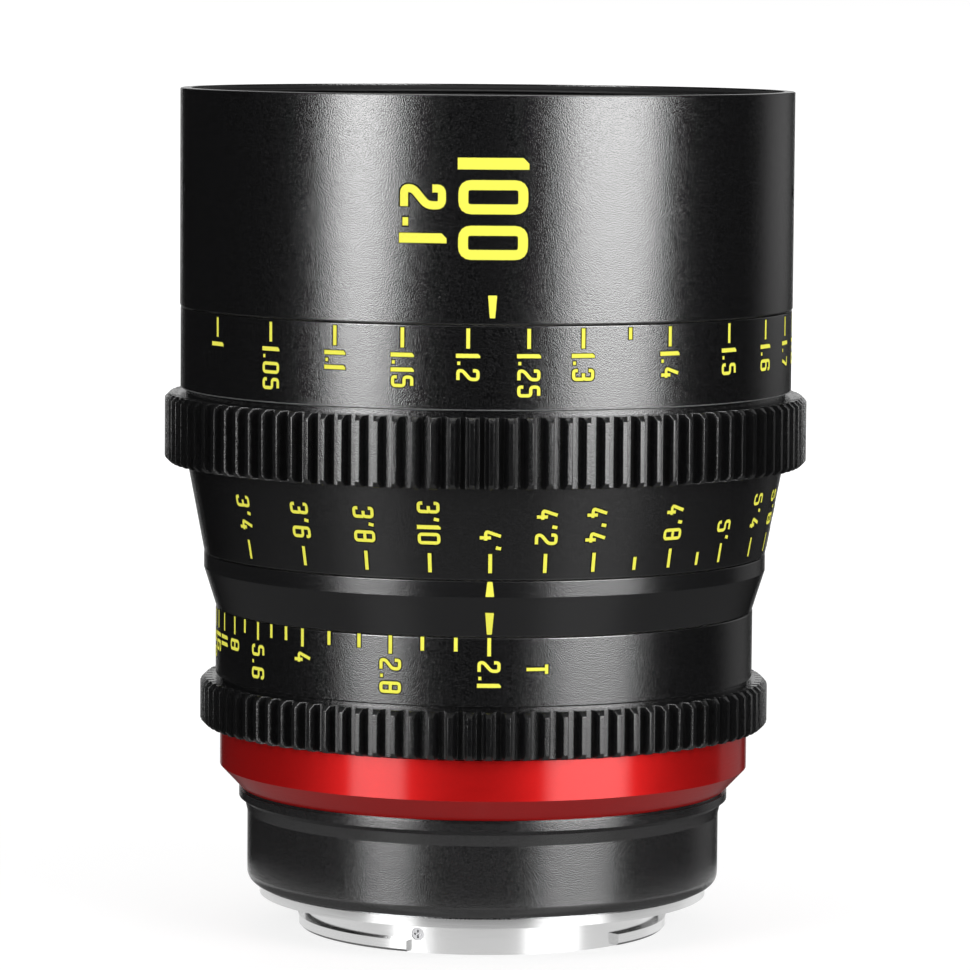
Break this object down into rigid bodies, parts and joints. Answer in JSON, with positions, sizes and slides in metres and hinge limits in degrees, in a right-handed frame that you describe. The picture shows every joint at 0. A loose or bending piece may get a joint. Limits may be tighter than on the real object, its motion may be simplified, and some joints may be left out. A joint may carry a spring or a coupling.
{
  "type": "cinema prime lens",
  "caption": "Cinema prime lens with geared focus and iris rings, dual distance scales, T-stop scale, red ring and a three-lug bayonet mount.",
  "frame": {"origin": "on the optical axis at the mounting face of the bayonet flange; the bayonet reaches below it", "axes": "+Z along the optical axis towards the front; the index line faces -Y; +X is to the right when the index faces the viewer with the front up"},
  "size_m": [0.0912, 0.0912, 0.1195],
  "materials": {
    "barrel_black": "fine bead-blasted black anodising",
    "gear_black": "bead-blasted black anodising, milled teeth",
    "smooth_black": "smooth black anodising",
    "rear_grey": "fine turned dark grey anodising",
    "inner_black": "matt black anodising against stray light",
    "trim_black": "matt black, finely ridged",
    "red_anodised": "glossy red anodising with fine turning marks",
    "bayonet_chrome": "hard chrome on brass, fine ground",
    "steel": "bright steel",
    "dark_steel": "blackened steel",
    "blade_steel": "thin blackened spring steel",
    "cam_brass": "turned and milled, lightly greased",
    "bearing_plastic": "low-friction bearing plastic",
    "coated_glass": "polished with a green-violet coating"
  },
  "bodies": {
    "body": {"bayonet_mount": "bayonet_chrome", "mount_screws": "steel", "bayonet_stop_screw": "steel", "mount_shim": "steel", "rear_baffle": "inner_black", "rear_baffle_screws": "dark_steel", "rear_barrel": "rear_grey", "rear_barrel_screws": "dark_steel", "red_ring": "red_anodised", "main_tube": "inner_black", "focus_stop_pin": "steel", "index_ring": "smooth_black", "rear_slide_ring": "bearing_plastic", "front_slide_ring": "bearing_plastic", "iris_slide_ring": "bearing_plastic", "front_barrel": "barrel_black", "front_barrel_screws": "dark_steel", "filter_ring": "inner_black", "barrel_set_screws": "dark_steel"},
    "focus_ring": {"focus_sleeve": "barrel_black", "focus_gear": "gear_black", "feet_scale_ring": "barrel_black", "cam_sleeve": "cam_brass", "cam_sleeve_screws": "dark_steel"},
    "lens_block": {"optics_barrel": "inner_black", "cam_followers": "cam_brass", "follower_screws": "dark_steel", "front_cell": "inner_black", "front_element": "coated_glass", "second_element": "coated_glass", "third_element": "coated_glass", "front_spacer": "inner_black", "front_retaining_ring": "inner_black", "front_trim_ring": "trim_black", "iris_housing": "inner_black", "iris_cover": "inner_black", "rear_cell": "inner_black", "fourth_element": "coated_glass", "fifth_element": "coated_glass", "sixth_element": "coated_glass", "rear_spacer": "inner_black", "rear_retaining_ring": "inner_black"},
    "iris_ring": {"t_scale_ring": "barrel_black", "iris_gear": "gear_black", "iris_drive_ring": "cam_brass", "iris_drive_pins": "steel"},
    "iris_cam": {"iris_cam_ring": "cam_brass", "iris_lever": "steel"},
    "blade_1": {"iris_blade_1": "blade_steel"},
    "blade_2": {"iris_blade_2": "blade_steel"},
    "blade_3": {"iris_blade_3": "blade_steel"},
    "blade_4": {"iris_blade_4": "blade_steel"},
    "blade_5": {"iris_blade_5": "blade_steel"},
    "blade_6": {"iris_blade_6": "blade_steel"},
    "blade_7": {"iris_blade_7": "blade_steel"},
    "blade_8": {"iris_blade_8": "blade_steel"},
    "blade_9": {"iris_blade_9": "blade_steel"}
  },
  "joints": [
    {"name": "focus_turn", "type": "hinge", "parent": "body", "child": "focus_ring", "pos_m": [0, 0, 0.0672], "axis": [0, 0, 1], "range_deg": [-243, 60]},
    {"name": "lens_travel", "type": "slide", "parent": "body", "child": "lens_block", "axis": [0, 0, 1], "range_m": [-0.00988, 0.00244]},
    {"name": "iris_turn", "type": "hinge", "parent": "body", "child": "iris_ring", "pos_m": [0, 0, 0.0327], "axis": [0, 0, 1], "range_deg": [0, 83]},
    {"name": "iris_cam_turn", "type": "hinge", "parent": "lens_block", "child": "iris_cam", "pos_m": [0, 0, 0.068], "axis": [0, 0, 1], "range_deg": [0, 83.01]},
    {"name": "blade_1_swing", "type": "hinge", "parent": "lens_block", "child": "blade_1", "pos_m": [0.0262, 0, 0.06997], "axis": [0, 0, 1], "range_deg": [0, 35.45]},
    {"name": "blade_2_swing", "type": "hinge", "parent": "lens_block", "child": "blade_2", "pos_m": [0.02007, 0.01684, 0.06997], "axis": [0, 0, 1], "range_deg": [0, 35.45]},
    {"name": "blade_3_swing", "type": "hinge", "parent": "lens_block", "child": "blade_3", "pos_m": [0.00455, 0.0258, 0.06997], "axis": [0, 0, 1], "range_deg": [0, 35.45]},
    {"name": "blade_4_swing", "type": "hinge", "parent": "lens_block", "child": "blade_4", "pos_m": [-0.0131, 0.02269, 0.06997], "axis": [0, 0, 1], "range_deg": [0, 35.45]},
    {"name": "blade_5_swing", "type": "hinge", "parent": "lens_block", "child": "blade_5", "pos_m": [-0.02462, 0.00896, 0.06997], "axis": [0, 0, 1], "range_deg": [0, 35.45]},
    {"name": "blade_6_swing", "type": "hinge", "parent": "lens_block", "child": "blade_6", "pos_m": [-0.02462, -0.00896, 0.06997], "axis": [0, 0, 1], "range_deg": [0, 35.45]},
    {"name": "blade_7_swing", "type": "hinge", "parent": "lens_block", "child": "blade_7", "pos_m": [-0.0131, -0.02269, 0.06997], "axis": [0, 0, 1], "range_deg": [0, 35.45]},
    {"name": "blade_8_swing", "type": "hinge", "parent": "lens_block", "child": "blade_8", "pos_m": [0.00455, -0.0258, 0.06997], "axis": [0, 0, 1], "range_deg": [0, 35.45]},
    {"name": "blade_9_swing", "type": "hinge", "parent": "lens_block", "child": "blade_9", "pos_m": [0.02007, -0.01684, 0.06997], "axis": [0, 0, 1], "range_deg": [0, 35.45]}
  ],
  "couplings": [
    {"joint": "lens_travel", "follows": "focus_turn", "m_per_rad": 0.00233},
    {"joint": "iris_cam_turn", "follows": "iris_turn", "ratio": 1},
    {"joint": "blade_1_swing", "follows": "iris_turn", "ratio": 0.42702},
    {"joint": "blade_2_swing", "follows": "iris_turn", "ratio": 0.42702},
    {"joint": "blade_3_swing", "follows": "iris_turn", "ratio": 0.42702},
    {"joint": "blade_4_swing", "follows": "iris_turn", "ratio": 0.42702},
    {"joint": "blade_5_swing", "follows": "iris_turn", "ratio": 0.42702},
    {"joint": "blade_6_swing", "follows": "iris_turn", "ratio": 0.42702},
    {"joint": "blade_7_swing", "follows": "iris_turn", "ratio": 0.42702},
    {"joint": "blade_8_swing", "follows": "iris_turn", "ratio": 0.42702},
    {"joint": "blade_9_swing", "follows": "iris_turn", "ratio": 0.42702}
  ]
}
